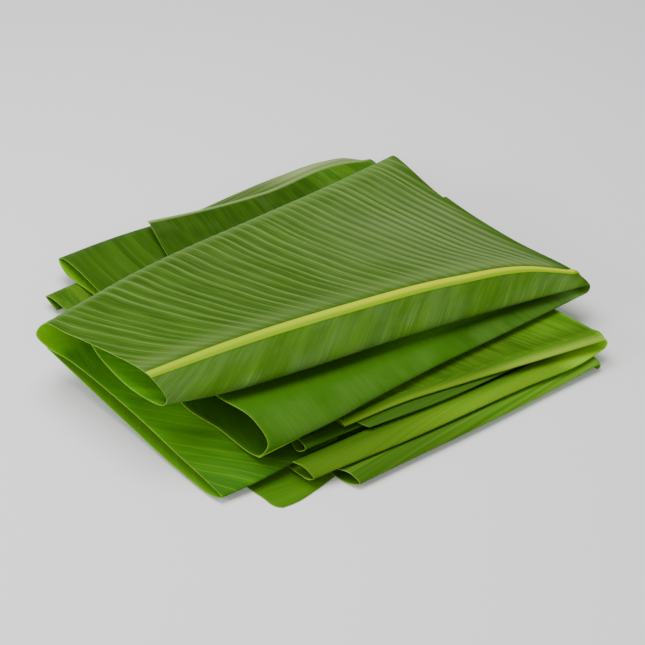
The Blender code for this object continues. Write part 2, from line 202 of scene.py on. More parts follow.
# The second length, with a ridge at its front fold
SECOND_AXIS = [(174, -122, 16), (158, -30, 14.4), (164, 184, 20)]
SECOND_LINES = [
    Line("flap edge", [(-46, -80, 19.2), (100, -88, 19.4)], -100, 3.65,
         [(100, -108, 13.6), (-4, -106, 13.6), (-90, -107, 13.2)]),
    Line("flap front", [(-44, -95, 19), (9, -94, 19), (124, -106, 19.3)], -112, 3.65,
         [(100, -117, 14), (-4, -116, 14.3), (-87, -116, 14.4)]),
    Line("front fold", [(-43, -100.5, 19.6), (9, -100.5, 19.6), (55, -105.5, 19.6),
                        (124, -114, 19.8)], -121, 4.4,
         [(150, -125.5, 11.6), (100, -125.5, 11.6), (-15, -128.5, 11.4), (-40, -128, 11),
          (-66, -127, 10.6), (-84, -125, 8.8)]),
    Line("ridge", [(-44, -97, 21.2), (9, -95, 21.4), (55, -99, 21.7), (124, -106, 22)],
         -112, 6.3,
         [(150, -118, 10), (100, -118, 10), (-15, -121, 9.8), (-42, -120, 9.4),
          (-66, -120, 8.9), (-86, -119, 5.2)]),
    Line("ply, front", [(-47, -45, 20.3), (60, -45, 20.6)], -40, 6,
         [(60, -50, 6.5), (-98, -50, 4.6)]),
    Line("ply, middle", [(-49, 45, 21), (60, 45, 21)], 45, 6.5,
         [(60, 45, 6), (-110, 45, 4.8)]),
    Line("ply, back", [(-54, 135, 24), (60, 135, 24)], 130, 6,
         [(60, 135, 10), (-119, 138, 12.5)]),
    Line("back fold, inner side", [(-47, 188, 28.3), (-5, 181, 28.3), (55, 176, 28.3),
                                   (135, 182, 28)], 176, 6,
         [(90, 182, 12.8), (-53, 187, 13), (-127, 180, 13.8)]),
    Line("back fold, outermost", [(-45, 196, 25.8), (-5, 188.5, 25.8), (55, 183.5, 25.8),
                                  (136, 189, 25.8)], 183, 4,
         [(90, 196, 14.8), (0, 199, 15.5), (-53, 201, 17), (-86, 200, 17.5),
          (-125, 197, 17.5)]),
    Line("back fold, outer side", [(-44, 185.5, 23.2), (-5, 178, 23.4), (55, 174, 23.4),
                                   (135, 178, 23.4)], 172, 2.2,
         [(90, 187, 16.5), (0, 188, 17.3), (-53, 190, 19.8), (-123, 186, 21.5)]),
    Line("turned margin", [(-41, 160, 22.6), (60, 160, 22)], 158, 2.2,
         [(90, 142, 15.3), (0, 138, 16.4), (-53, 130, 18.6), (-118, 120, 20.5)]),
]
SECOND_TURN = "ply, back"

# The third length: two slim rolls between the plies of the second one
THIRD_AXIS = [(159, -104, 16.2), (149, -30, 14.2), (160, 203, 19.5)]
THIRD_LINES = [
    Line("flap edge", [(-34, -86, 16.2), (60, -88, 16.2)], -90, 0.75,
         [(60, -86, 14.8), (-30, -86, 14.9), (-78, -88, 17.2)]),
    Line("roll, inner side", [(-29, -103, 15.9), (30, -106, 15.9)], -98, 0.75,
         [(60, -94, 14.8), (-20, -95, 14.8), (-44, -96, 15.6), (-78, -98, 20)]),
    Line("roll front", [(-26.5, -108.5, 17.2), (30, -111, 17)], -104.5, 1.5,
         [(60, -100, 13.9), (-20, -101, 14), (-78, -104.5, 17.5)]),
    Line("roll, outer side", [(-30, -104.5, 18.1), (30, -107, 17.8)], -99, 2.1,
         [(60, -95, 12.9), (-20, -96, 13), (-82, -101, 14.8)]),
    Line("ply, front", [(-36, -84, 17.6), (60, -84, 17.6)], -86, 2.1,
         [(60, -84, 12.8), (-30, -84, 13.2), (-79, -87, 15.8)]),
    Line("ply, behind the roll", [(-36, -72, 17.2), (60, -72, 17.2)], -70, 2,
         [(60, -74, 12.4), (-46, -74, 13)]),
    Line("ply, middle", [(-36, 30, 14), (60, 30, 13)], 30, 2,
         [(60, 30, 10), (-42, 30, 10)]),
    Line("ply, back", [(-36, 130, 18.6), (60, 130, 18.6)], 130, 2,
         [(60, 130, 13), (-40, 130, 14)]),
    Line("margin", [(-26, 189, 21.6), (27, 198, 21.6), (86, 204.5, 21.6), (128, 205, 21.6),
                    (148, 200, 21.6)], 190, 2, None),
]
THIRD_TURN = "ply, back"

# The lowest length: the roll at the foot of the packet, and the flat ply it all lies on
LOWEST_AXIS = [(164.5, -128, 4.4), (165, 20, 3.4), (160, 160, 4.4)]
LOWEST_LINES = [
    Line("flap edge", [(-68, -114, 2), (50, -108, 2)], -106, 0.8, None),
    Line("roll underside", [(-62, -135, 1.3), (-23, -133, 1.3), (48, -129.5, 1.3),
                            (126, -124.5, 1.3)], -118, 0.8, None),
    Line("roll front", [(-57.5, -142.5, 4.6), (-23, -140.5, 4.6), (48, -137, 4.6),
                        (126, -131, 4.4)], -128.5, 2.2, None),
    Line("roll top", [(-60, -135, 9.2), (-23, -133.5, 9.6), (48, -131, 8.9), (126, -127, 8.1)],
         -123, 3.7, [(126, -116, ON_FLOOR), (0, -117, ON_FLOOR), (-56, -120.5, ON_FLOOR),
                     (-81, -127.5, ON_FLOOR), (-103, -131.5, ON_FLOOR), (-112, -131, ON_FLOOR)]),
    Line("ply, front", [(-68, -112, 4.6), (50, -108, 5)], -106, 3.4,
         [(50, -106, ON_FLOOR), (-80, -112, ON_FLOOR), (-119.5, -113, ON_FLOOR)]),
    Line("ply, middle", [(-90, -40, 2.2), (50, -40, 2.6)], -30, 2.5,
         [(50, -40, ON_FLOOR), (-131, -45, ON_FLOOR)]),
    Line("ply, back", [(-125, 60, 2.8), (50, 60, 3)], 60, 2.5,
         [(50, 60, ON_FLOOR), (-142, 60, ON_FLOOR)]),
    Line("back fold, inner side", [(-145, 142, 9), (-131, 143, 8.6), (0, 145, 6)], 138, 2.6,
         [(50, 130, ON_FLOOR), (-148, 132, ON_FLOOR)]),
    Line("back fold, top", [(-150, 160, 11.8), (-131, 163, 11.4), (0, 167, 8)], 160, 2.6, None),
    Line("back fold, outermost", [(-151, 167, 8.6), (-131, 170, 8.4), (0, 174, 6)], 166, 0.6,
         None),
    Line("back fold, underside", [(-149, 152, 3.6), (0, 152, 3)], 150, -1, None),
]
LOWEST_TURN = "back fold, inner side"


def smooth_through(points, knots, wanted):
    """Points at the wanted parameters of a smooth curve that meets each point at its knot."""
    points, knots = np.asarray(points, float), np.asarray(knots, float)
    steps = np.diff(knots)
    slopes = np.diff(points, axis=0) / steps[:, None]
    tangents = np.empty_like(points)
    tangents[0], tangents[-1] = slopes[0], slopes[-1]
    if len(points) > 2:
        before, after = steps[:-1, None], steps[1:, None]
        tangents[1:-1] = (slopes[:-1] * after + slopes[1:] * before) / (before + after)
    span = np.clip(np.searchsorted(knots, wanted, side="right") - 1, 0, len(steps) - 1)
    width = steps[span][:, None]
    part = ((np.asarray(wanted) - knots[span]) / steps[span])[:, None]
    start, end = points[span], points[span + 1]
    return (start * (1 + 2 * part) * (1 - part) ** 2 + end * part ** 2 * (3 - 2 * part)
            + width * part * (1 - part) * (tangents[span] * (1 - part)
                                           - tangents[span + 1] * part))


def along(points, shares):
    """Points at the given shares of the length of a smooth curve through the points."""
    gaps = np.linalg.norm(np.diff(np.asarray(points, float), axis=0), axis=1)
    knots = np.concatenate([[0], np.cumsum(gaps)]) / gaps.sum()
    return smooth_through(points, knots, shares)


def fold_axis(axis, y):
    """The point of the crosswise fold's axis at y, and the level direction straight out of it."""
    ends = np.asarray(axis, float)
    share = (y - ends[0, 1]) / (ends[-1, 1] - ends[0, 1])
    middle = (ends[1, 1] - ends[0, 1]) / (ends[-1, 1] - ends[0, 1])
    point = smooth_through(ends, (0, middle, 1), np.array([share]))[0]
    run = ends[-1] - ends[0]
    outward = np.array([run[1], -run[0], 0]) / math.hypot(run[0], run[1])
    return point, outward


def line_points(line, axis, upper, turn, lower):
    """The points of one fold line: on the upper ply, round the crosswise fold and back."""
    centre, outward = fold_axis(axis, line.fold_y)
    height = np.array([0, 0, line.fold_h])
    parts = [along(line.upper + [tuple(centre + height)], upper)]
    for share in turn:
        angle = math.pi * share
        parts.append([centre + math.cos(angle) * height
                      + math.sin(angle) * abs(line.fold_h) * outward])
    if line.lower:
        parts.append(along([tuple(centre - height)] + line.lower, lower))
    else:
        parts.append(np.repeat([centre - height], len(lower), axis=0))
    return np.concatenate(parts)


def row_places(rails, midrib):
    """Where the rows of points lie: the line before each, and the share of the way on. They lie
    closer together on the midrib."""
    gaps = np.linalg.norm(np.diff(rails, axis=0), axis=2)
    places = []
    for number, gap in enumerate(np.median(gaps, axis=1)):
        count = max(FEWEST_ROWS, math.ceil(gap / ROW_STEP))
        shares = list(np.arange(count) / count)
        near = np.arange(1, RIB_ROWS + 1) * MIDRIB_HALF_WIDTH / RIB_STEPS / gap
        clear = near[-1] * CLEAR_OF_RIB
        if number == midrib:
            shares = [0] + list(near) + [share for share in shares if share > clear]
        if midrib is not None and number == midrib - 1:
            shares = [share for share in shares if share < 1 - clear] + list(1 - near[::-1])
        places += [(number, share) for share in shares]
    return places + [(len(rails) - 1, 0)]


def across(points, places):
    """The rows of points on a smooth curve across the fold lines."""
    gaps = np.sqrt(np.linalg.norm(np.diff(points, axis=0), axis=1))
    knots = np.concatenate([[0], np.cumsum(gaps)])
    ends = np.append(knots, knots[-1])
    wanted = [knots[number] + share * (ends[number + 1] - knots[number])
              for number, share in places]
    return smooth_through(points, knots, np.array(wanted))


def smooth_step(values, low, high):
    """0 at low and below, 1 at high and above, and smooth between."""
    share = np.clip((values - low) / (high - low), 0, 1)
    return share * share * (3 - 2 * share)


def blade_distances(grid, fold_column, rib_row):
    """Each point's distance along the blade from the crosswise fold, and from the midrib."""
    along_blade = np.linalg.norm(np.diff(grid, axis=0), axis=2).cumsum(axis=0)
    along_blade = np.concatenate([np.zeros((1, grid.shape[1])), along_blade])
    along_blade -= along_blade[fold_column]
    steps = np.linalg.norm(np.diff(grid[:fold_column], axis=1), axis=2).mean(axis=0)
    from_rib = np.concatenate([[0], np.cumsum(steps)])
    from_rib -= from_rib[rib_row]
    return along_blade, np.broadcast_to(from_rib, along_blade.shape)


def vein_places(along_blade, from_rib, bends, front_slopes, crossing_from, slanting_from):
    """Which vein each point lies on, as the place where that vein meets the midrib. The veins
    cross the blade and bend into the midrib, but nearer to the first row than crossing_from they
    run nearly lengthwise, and past slanting_from they slant."""
    away = np.abs(from_rib)
    behind = from_rib > 0
    slope = np.where(behind, np.interp(along_blade, *zip(*SLOPE_BEHIND)),
                     np.interp(along_blade, *zip(*front_slopes)))
    bend = np.where(behind, np.interp(along_blade, *zip(*bends)), BEND_IN_FRONT)
    past_fold = np.clip(from_rib, FOLD_BEND_FROM, FOLD_BEND_TO) - FOLD_BEND_FROM
    slanting = np.clip(from_rib - slanting_from, 0, None)
    slant = np.minimum(slanting, SLANT_REACH) ** 2 / (2 * SLANT_REACH)
    slant += np.maximum(slanting - SLANT_REACH, 0)
    crossing = (along_blade + slope * away + bend * (1 - np.exp(-away / BEND_REACH))
                + FOLD_BEND * past_fold ** 2 - SLANT_SLOPE * slant)
    lengthwise = LENGTHWISE[0] * along_blade + LENGTHWISE[1] * away
    share = smooth_step(from_rib, crossing_from, crossing_from + CROSSING_REACH)
    return crossing * share + lengthwise * (1 - share)


def number_veins(places, seed):
    """A number that rises by one from each main vein to the next, which are unevenly spaced, and
    how strong the vein at each point is."""
    draw = np.random.default_rng(seed)
    steps = PLEAT_SPACING * draw.uniform(*SPACING_RANGE, VEIN_COUNT)
    strengths = draw.uniform(*STRENGTH_RANGE, VEIN_COUNT + 1)
    veins = np.cumsum(steps) - steps.sum() / 2
    phase = np.interp(places, veins, np.arange(len(veins)))
    return phase, strengths[np.round(phase).astype(int)]


def pleat_profile(phase):
    """The height of the pleated blade, from -1 to 1, with a narrow ridge on each main vein."""
    wave = np.cos(2 * math.pi * phase)
    ridge = np.abs(np.cos(math.pi * phase)) ** RIDGE_SHARPNESS
    return (1 - RIDGE_SHARE) * wave + RIDGE_SHARE * (2 * ridge - 1)


def sheet_normals(grid):
    """The direction straight out of the sheet's outer face at each point."""
    normals = np.cross(np.gradient(grid, axis=0), np.gradient(grid, axis=1))
    lengths = np.linalg.norm(normals, axis=2, keepdims=True)
    return normals / np.maximum(lengths, 1e-9)


def leaf_sheet(name, lines, axis, columns_up, columns_down, turn_up_to, materials, seed,
               midrib=None, bends=NO_BEND, front_slopes=SLOPE_IN_FRONT, crossing_from=-FAR_OFF,
               slanting_from=FAR_OFF, pleated_up_to=None, on_floor=False):
    """One length of leaf: a fine grid bent along its fold lines, pleated along its veins, and
    given the blade's thickness."""
    numbers = {line.name: number for number, line in enumerate(lines)}
    upper = np.linspace(0, 1, columns_up + 1)
    turn = np.arange(1, TURN_COLUMNS) / TURN_COLUMNS
    lower = np.linspace(0, 1, columns_down + 1)
    rails = np.array([line_points(line, axis, upper, turn, lower) for line in lines])
    places = row_places(rails[:, :columns_up], numbers.get(midrib))
    columns = rails.shape[1]
    last_upper, first_lower = columns_up, columns_up + TURN_COLUMNS
    grid = np.array([across(rails[:, column], places) for column in range(columns)])
    if on_floor:
        grid[first_lower:, :, 2] = ON_FLOOR

    rib_row = places.index((numbers[midrib], 0)) if midrib else 0
    along_blade, from_rib = blade_distances(grid, last_upper, rib_row)
    pleats_end = 0
    if pleated_up_to:
        pleats_end = from_rib[0, places.index((numbers[pleated_up_to], 0))]
    veins = vein_places(along_blade, from_rib, bends, front_slopes, crossing_from,
                        slanting_from)
    phase, strength = number_veins(veins, seed)
    height = pleat_heights(phase, strength, along_blade, from_rib, pleats_end)
    if on_floor:
        height[first_lower:] = 0
    if midrib:
        height += midrib_heights(from_rib)
    grid += sheet_normals(grid) * height[..., None]

    mesh = bpy.data.meshes.new(name)
    sheet = bmesh.new()
    bmesh.ops.create_grid(sheet, x_segments=columns - 1, y_segments=len(places) - 1, size=0.5)
    vein_layer = sheet.verts.layers.float_vector.new("veins")
    mark_layer = sheet.verts.layers.float_vector.new("marks")
    rib_layer = sheet.verts.layers.float.new("rib")
    beyond = []
    for vert in sheet.verts:
        column = round((vert.co.x + 0.5) * (columns - 1))
        row = round((vert.co.y + 0.5) * (len(places) - 1))
        vert.co = Vector(grid[column, row]) * MM
        if not has_leaf(lines, places[row], column, last_upper, first_lower,
                        numbers[turn_up_to], upper):
            beyond.append(vert)
        vert[vein_layer] = (veins[column, row], from_rib[column, row], phase[column, row])
        vert[mark_layer] = (0, along_blade[column, row], strength[column, row])
        vert[rib_layer] = abs(from_rib[column, row]) if midrib else FAR_OFF
    bmesh.ops.delete(sheet, geom=beyond, context="VERTS")
    for vert in sheet.verts:
        if vert.is_boundary:
            vert[mark_layer] = (1, *vert[mark_layer][1:])
    ribs = [vert[rib_layer] for vert in sheet.verts]
    bmesh.ops.triangulate(sheet, faces=sheet.faces[:], quad_method="SHORT_EDGE")
    sheet.to_mesh(mesh)
    sheet.free()
    mesh.attributes.remove(mesh.attributes["rib"])
    for material in materials:
        mesh.materials.append(material)
    mesh.shade_smooth()
    return thickened(name, mesh, ribs)


def thickened(name, mesh, ribs):
    """A piece with the sheet as its middle, thicker along the midrib. Ribs says how far each point
    is from the midrib."""
    leaf = bpy.data.objects.new(name, mesh)
    bpy.context.scene.collection.objects.link(leaf)
    group = leaf.vertex_groups.new(name="midrib")
    blade_share = BLADE_THICKNESS / MIDRIB_THICKNESS
    for vert, away in enumerate(ribs):
        share = blade_share + (1 - blade_share) * max(0, 1 - (away / MIDRIB_HALF_WIDTH) ** 2)
        group.add([vert], share, "REPLACE")
    body = leaf.modifiers.new("thickness", "SOLIDIFY")
    body.thickness = MIDRIB_THICKNESS * MM
    body.offset = 0
    body.vertex_group = group.name
    body.material_offset = 1
    body.material_offset_rim = 2
    return leaf


def has_leaf(lines, place, column, last_upper, first_lower, turn_up_to, upper):
    """Whether the sheet reaches this point of its grid, or was cut or torn off before it."""
    number, share = place
    if column <= last_upper:
        reach = lines[number].reach
        if share == 0:
            reach = max(reach, lines[max(number - 1, 0)].reach)
        return upper[column] <= reach
    if column < first_lower:
        return number + share <= turn_up_to
    return all(line.lower for line in lines[number:number + (2 if share else 1)])


def pleat_heights(phase, strength, along_blade, from_rib, pleats_end):
    """How far the pleats lift each point: in full behind the midrib on the first ply as far as
    the fold at pleats_end, and hardly elsewhere."""
    ribbed = smooth_step(from_rib, *PLEATS_BY_RIB)
    ribbed = ribbed * (1 - smooth_step(from_rib - pleats_end, *PLEATS_BY_END))
    ribbed = ribbed * smooth_step(-along_blade, *PLEATS_BY_TURN)
    ribbed = ribbed * np.interp(along_blade, *zip(*PLEATS_ALONG))
    plain = FAINT_PLEATS * smooth_step(np.abs(from_rib), *FAINT_BY_RIB)
    share = plain + (1 - FAINT_PLEATS) * ribbed
    strength = WEAKEST_PLEAT + (1 - WEAKEST_PLEAT) * strength
    return PLEAT_HEIGHT * share * strength * pleat_profile(phase)


def midrib_heights(from_rib):
    """The midrib's rounded back above the blade."""
    away = np.clip(np.abs(from_rib) / MIDRIB_HALF_WIDTH, 0, 1)
    return MIDRIB_HEIGHT * (1 - away ** 2) ** 1.5


class Nodes:
    """A short way to write a material's nodes."""

    # The colour sockets of a mix node, which has sockets for other kinds of value before them
    FIRST_COLOUR = 6
    SECOND_COLOUR = 7
    MIXED_COLOUR = 2

    def __init__(self, material):
        material.use_nodes = True
        self.tree = material.node_tree
        self.shader = self.tree.nodes["Principled BSDF"]

    def put(self, value, socket):
        """Link a socket, or set a plain value or colour."""
        if isinstance(value, bpy.types.NodeSocket):
            self.tree.links.new(value, socket)
        elif socket.type == "RGBA":
            socket.default_value = (*value, 1)
        else:
            socket.default_value = value

    def math(self, operation, first, second=0.0, clamp=False):
        """A sum, product or other operation on two sockets or values."""
        node = self.tree.nodes.new("ShaderNodeMath")
        node.operation = operation
        node.use_clamp = clamp
        self.put(first, node.inputs[0])
        self.put(second, node.inputs[1])
        return node.outputs[0]

    def mix(self, share, first, second):
        """The first colour, and the second one by its share."""
        node = self.tree.nodes.new("ShaderNodeMix")
        node.data_type = "RGBA"
        self.put(share, node.inputs["Factor"])
        self.put(first, node.inputs[self.FIRST_COLOUR])
        self.put(second, node.inputs[self.SECOND_COLOUR])
        return node.outputs[self.MIXED_COLOUR]

    def shade(self, colour, factor):
        """A colour made lighter or darker by a factor."""
        node = self.tree.nodes.new("ShaderNodeVectorMath")
        node.operation = "SCALE"
        self.put(colour, node.inputs[0])
        self.put(factor, node.inputs["Scale"])
        return node.outputs[0]

    def lighten(self, colour, *shares):
        """A colour made lighter by the sum of some shares, or darker where it is negative."""
        factor = 1
        for share in shares:
            factor = self.math("ADD", factor, share)
        return self.shade(colour, factor)

    def product(self, *values):
        """The product of several sockets or values."""
        result = values[0]
        for value in values[1:]:
            result = self.math("MULTIPLY", result, value)
        return result

    def noise(self, vector, scale, detail, roughness=0.5):
        """Soft noise at a vector, about 0.5."""
        node = self.tree.nodes.new("ShaderNodeTexNoise")
        self.put(vector, node.inputs["Vector"])
        node.inputs["Scale"].default_value = scale
        node.inputs["Detail"].default_value = detail
        node.inputs["Roughness"].default_value = roughness
        return node.outputs["Fac"]

    def between(self, value, low, high, start=0.0, end=1.0):
        """Smoothly from start to end as the value goes from low to high."""
        node = self.tree.nodes.new("ShaderNodeMapRange")
        node.interpolation_type = "SMOOTHSTEP"
        self.put(value, node.inputs["Value"])
        node.inputs["From Min"].default_value = low
        node.inputs["From Max"].default_value = high
        node.inputs["To Min"].default_value = start
        node.inputs["To Max"].default_value = end
        return node.outputs["Result"]

    def over_width(self, *values):
        """Between, for the distance from the midrib."""
        return self.between(self.from_rib, *values)

    def over_length(self, *values):
        """Between, for the distance along the blade from the crosswise fold."""
        return self.between(self.along_blade, *values)

    def stripe(self, value, low, full, fading, high):
        """1 as the value goes from full to fading, 0 outside low and high, and smooth between."""
        return self.product(self.between(value, low, full), self.between(value, fading, high, 1, 0))

    def attribute(self, name):
        """The three values that the mesh holds for each point under a name."""
        node = self.tree.nodes.new("ShaderNodeAttribute")
        node.attribute_name = name
        split = self.tree.nodes.new("ShaderNodeSeparateXYZ")
        self.tree.links.new(node.outputs["Vector"], split.inputs[0])
        return split.outputs

    def ripple(self, phase, times):
        """1 on each main vein and at even steps between them, and 0 halfway."""
        angle = self.math("MULTIPLY", phase, times * math.pi)
        return self.math("ABSOLUTE", self.math("COSINE", angle))

    def vector(self, x, y):
        """A level vector of two sockets or values."""
        node = self.tree.nodes.new("ShaderNodeCombineXYZ")
        self.put(x, node.inputs[0])
        self.put(y, node.inputs[1])
        return node.outputs[0]

    def vein_noise(self, place, across, along, roughness=0.5):
        """Noise that is drawn out along the veins. Across and along say how fast it changes from
        vein to vein, and with the distance from the midrib."""
        vector = self.vector(self.product(place, across), self.product(self.from_rib, along))
        return self.noise(vector, 1, 3, roughness)


def leaf_pattern(nodes):
    """What every leaf surface is coloured by: the vein that a point lies on, bands and streaks
    that follow the veins, soft blotches, and lines on the main veins and between them."""
    place, nodes.from_rib, phase = nodes.attribute("veins")
    nodes.cut, nodes.along_blade, nodes.strength = nodes.attribute("marks")
    nodes.bands = nodes.vein_noise(place, 0.1, 0.02)
    nodes.streaks = nodes.vein_noise(place, 0.9, 0.02, 0.6)
    nodes.blotches = nodes.vein_noise(place, 0.022, 0.03, 0.55)
    nodes.pleat = nodes.ripple(phase, 1)
    nodes.main_lines = nodes.product(nodes.math("POWER", nodes.pleat, MAIN_SHARPNESS),
                                     nodes.strength)
    side = nodes.math("POWER", nodes.ripple(phase, SIDE_LINES), SIDE_SHARPNESS)
    nodes.side_lines = nodes.product(side, nodes.between(nodes.streaks, 0.45, 0.62))


def leaf_material(name, dark, light, line, line_share, bands=(0.36, 0.66), extra=None,
                  edge=(0.2, 0.4, 0.02)):
    """A leaf blade: bands and streaks along its veins from a dark to a light green, paler lines
    on the veins, and a pale cut edge. Extra adds what only this surface has."""
    material = bpy.data.materials.new(name)
    nodes = Nodes(material)
    leaf_pattern(nodes)
    tone = nodes.math("ADD", nodes.product(nodes.bands, 0.6), nodes.product(nodes.streaks, 0.4))
    colour = nodes.mix(nodes.between(tone, *bands), dark, light)
    lines = nodes.math("ADD", nodes.main_lines, nodes.product(nodes.side_lines, 0.6), clamp=True)
    lines = nodes.product(lines, nodes.between(nodes.blotches, 0.35, 0.65, 0.3, 1))
    colour = nodes.mix(nodes.product(lines, line_share), colour, line)
    if extra:
        colour = extra(nodes, colour)
    at_cut = nodes.between(nodes.cut, 0.7, 1, 0, CUT_SHARE)
    nodes.put(nodes.mix(at_cut, colour, edge), nodes.shader.inputs["Base Color"])

    rough = nodes.math("ADD", nodes.product(nodes.streaks, ROUGHNESS_SPREAD), LEAST_ROUGHNESS)
    nodes.put(rough, nodes.shader.inputs["Roughness"])
    nodes.shader.inputs["Specular IOR Level"].default_value = GLOSS
    bump = nodes.tree.nodes.new("ShaderNodeBump")
    bump.inputs["Strength"].default_value = RELIEF_STRENGTH
    bump.inputs["Distance"].default_value = RELIEF_DEPTH
    relief = nodes.math("ADD", nodes.product(nodes.streaks, 0.6), nodes.product(lines, 0.5))
    nodes.put(relief, bump.inputs["Height"])
    nodes.put(bump.outputs["Normal"], nodes.shader.inputs["Normal"])
    return material


# What only one surface has. Ranges are millimetres: from the midrib, negative in front of it, or
# along the blade from the crosswise fold, negative on the first ply and positive on the way back.
def ribbed_extra(nodes, colour):
    """On the top length: the ribbed ply behind the midrib, the roll in front of it, the way back
    from the crosswise fold, and the midrib itself."""
    first = nodes.over_length(-14, 4, 1, 0)
    colour = ribbed_ply(nodes, colour, first)
    colour = front_roll(nodes, colour, first)
    colour = way_back(nodes, colour)
    return midrib_on(nodes, colour)


def ribbed_ply(nodes, colour, first):
    """Pale ridges with fresh green between them, pale wax with painted sheen that grows to the
    right, and a painted highlight along the top of the back fold.
    """
    ribbed = nodes.product(nodes.over_width(3, 12), first)
    ridges = nodes.product(nodes.math("POWER", nodes.pleat, 4), ribbed, nodes.strength, 0.5)
    colour = nodes.mix(ridges, colour, (0.1, 0.185, 0.036))
    fresh = nodes.product(nodes.between(nodes.pleat, 0.1, 0.6, 0.6, 0), ribbed)
    colour = nodes.mix(fresh, colour, (0.036, 0.1, 0.006))
    # Pale wax on the ribbed ply, with painted sheen that grows to the right
    bloom_and_sheen = nodes.product(nodes.between(nodes.blotches, 0.3, 0.68), ribbed,
                          nodes.over_length(-300, -90, 0, 0.45))
    colour = nodes.mix(bloom_and_sheen, colour, (0.09, 0.155, 0.035))
    # Painted sheen over the pale wax on the vein crests, to the right
    wax_and_sheen = nodes.product(nodes.over_length(-180, -40), nodes.over_width(90, 130, 1, 0.3), ribbed,
                         nodes.between(nodes.pleat, 0.2, 1, 0.1, 0.85))
    colour = nodes.mix(wax_and_sheen, colour, (0.135, 0.2, 0.07))
    fine = nodes.math("ADD", nodes.main_lines, nodes.product(nodes.side_lines, 0.5), clamp=True)
    fine = nodes.product(fine, ribbed, nodes.between(nodes.streaks, 0.3, 0.6, 0.4, 0.8),
                         nodes.over_length(-320, -100, 0.55, 1))
    colour = nodes.mix(fine, colour, (0.2, 0.32, 0.07))
    # Painted highlight along the top of the back fold
    crest_highlight = nodes.product(nodes.stripe(nodes.from_rib, 140, 152, 156, 168), first, 0.4)
    colour = nodes.mix(crest_highlight, colour, (0.14, 0.26, 0.05))
    by_rib = nodes.product(nodes.over_width(8, 28, 1, 0), ribbed,
                           nodes.over_length(-120, -20, 0.4, 0.7))
    colour = nodes.mix(by_rib, colour, (0.16, 0.25, 0.065))
    darker = nodes.product(nodes.over_length(-320, -260),
                           nodes.over_length(-190, -130, -0.1, 0), ribbed)
    return nodes.lighten(colour, darker, 0.04)


def front_roll(nodes, colour, first):
    """Short slanting streaks and dull patches in front of the midrib."""
    in_front = nodes.product(nodes.over_width(-6, -2, 1, 0), first)
    slanting = nodes.product(nodes.between(nodes.streaks, 0.54, 0.68), in_front,
                             nodes.between(nodes.blotches, 0.4, 0.56, 0, 0.35))
    colour = nodes.mix(slanting, colour, (0.14, 0.24, 0.06))
    dull = nodes.product(in_front, nodes.between(nodes.blotches, 0.35, 0.65, 0, 0.3))
    colour = nodes.mix(dull, colour, (0.08, 0.145, 0.045))
    return nodes.lighten(colour, nodes.product(in_front, 0.3))


def way_back(nodes, colour):
    """A deep green with a faint sheen on the way back, painted light deep in the fold where shade
    falls, a painted highlight at its nose, and a lighter green painted on the lower ply, which
    lies in shade."""
    back = nodes.over_length(4, 20)
    colour = nodes.mix(nodes.product(back, 0.7), colour, (0.038, 0.148, 0.002))
    by_nose = nodes.product(back, nodes.over_length(110, 150, -0.3, 0))
    colour = nodes.lighten(colour, by_nose)
    sheen = nodes.product(nodes.stripe(nodes.from_rib, -46, -34, -28, -14), back,
                          nodes.between(nodes.blotches, 0.35, 0.6),
                          nodes.between(nodes.streaks, 0.4, 0.62, 0.35, 0.5))
    colour = nodes.mix(sheen, colour, (0.1, 0.215, 0.03))
    # Painted light deep in the fold, where shade falls, and a painted highlight at the nose
    deep_in = nodes.product(nodes.over_width(-58, -44, 1, 0),
                            nodes.over_length(80, 220, 2, 0), back)
    nose = nodes.product(back, nodes.over_length(12, 34, 2.2, 0))
    colour = nodes.lighten(colour, deep_in, nose)
    shine = nodes.product(back, nodes.over_length(10, 40, 0.4, 0))
    colour = nodes.mix(shine, colour, (0.14, 0.2, 0.09))
    # Painted light: a lighter green on the lower ply, which lies in shade
    painted_light_lower_ply = nodes.over_width(362, 380, 0, 0.85)
    return nodes.mix(painted_light_lower_ply, colour, (0.1, 0.3, 0.006))


def midrib_on(nodes, colour):
    """The pale yellow-green midrib, greener on its front flank and to the left."""
    crown = nodes.mix(nodes.over_length(-350, -100), (0.34, 0.5, 0.002), (0.54, 0.64, 0))
    rib = nodes.mix(nodes.over_width(-2.5, 0.5), (0.24, 0.42, 0.002), crown)
    rib = nodes.mix(nodes.between(nodes.streaks, 0.5, 0.75, 0, 0.3), rib, (0.28, 0.44, 0.001))
    away = nodes.math("ABSOLUTE", nodes.from_rib)
    on_rib = nodes.between(away, MIDRIB_HALF_WIDTH - 0.9, MIDRIB_HALF_WIDTH, 1, 0)
    return nodes.mix(on_rib, colour, rib)


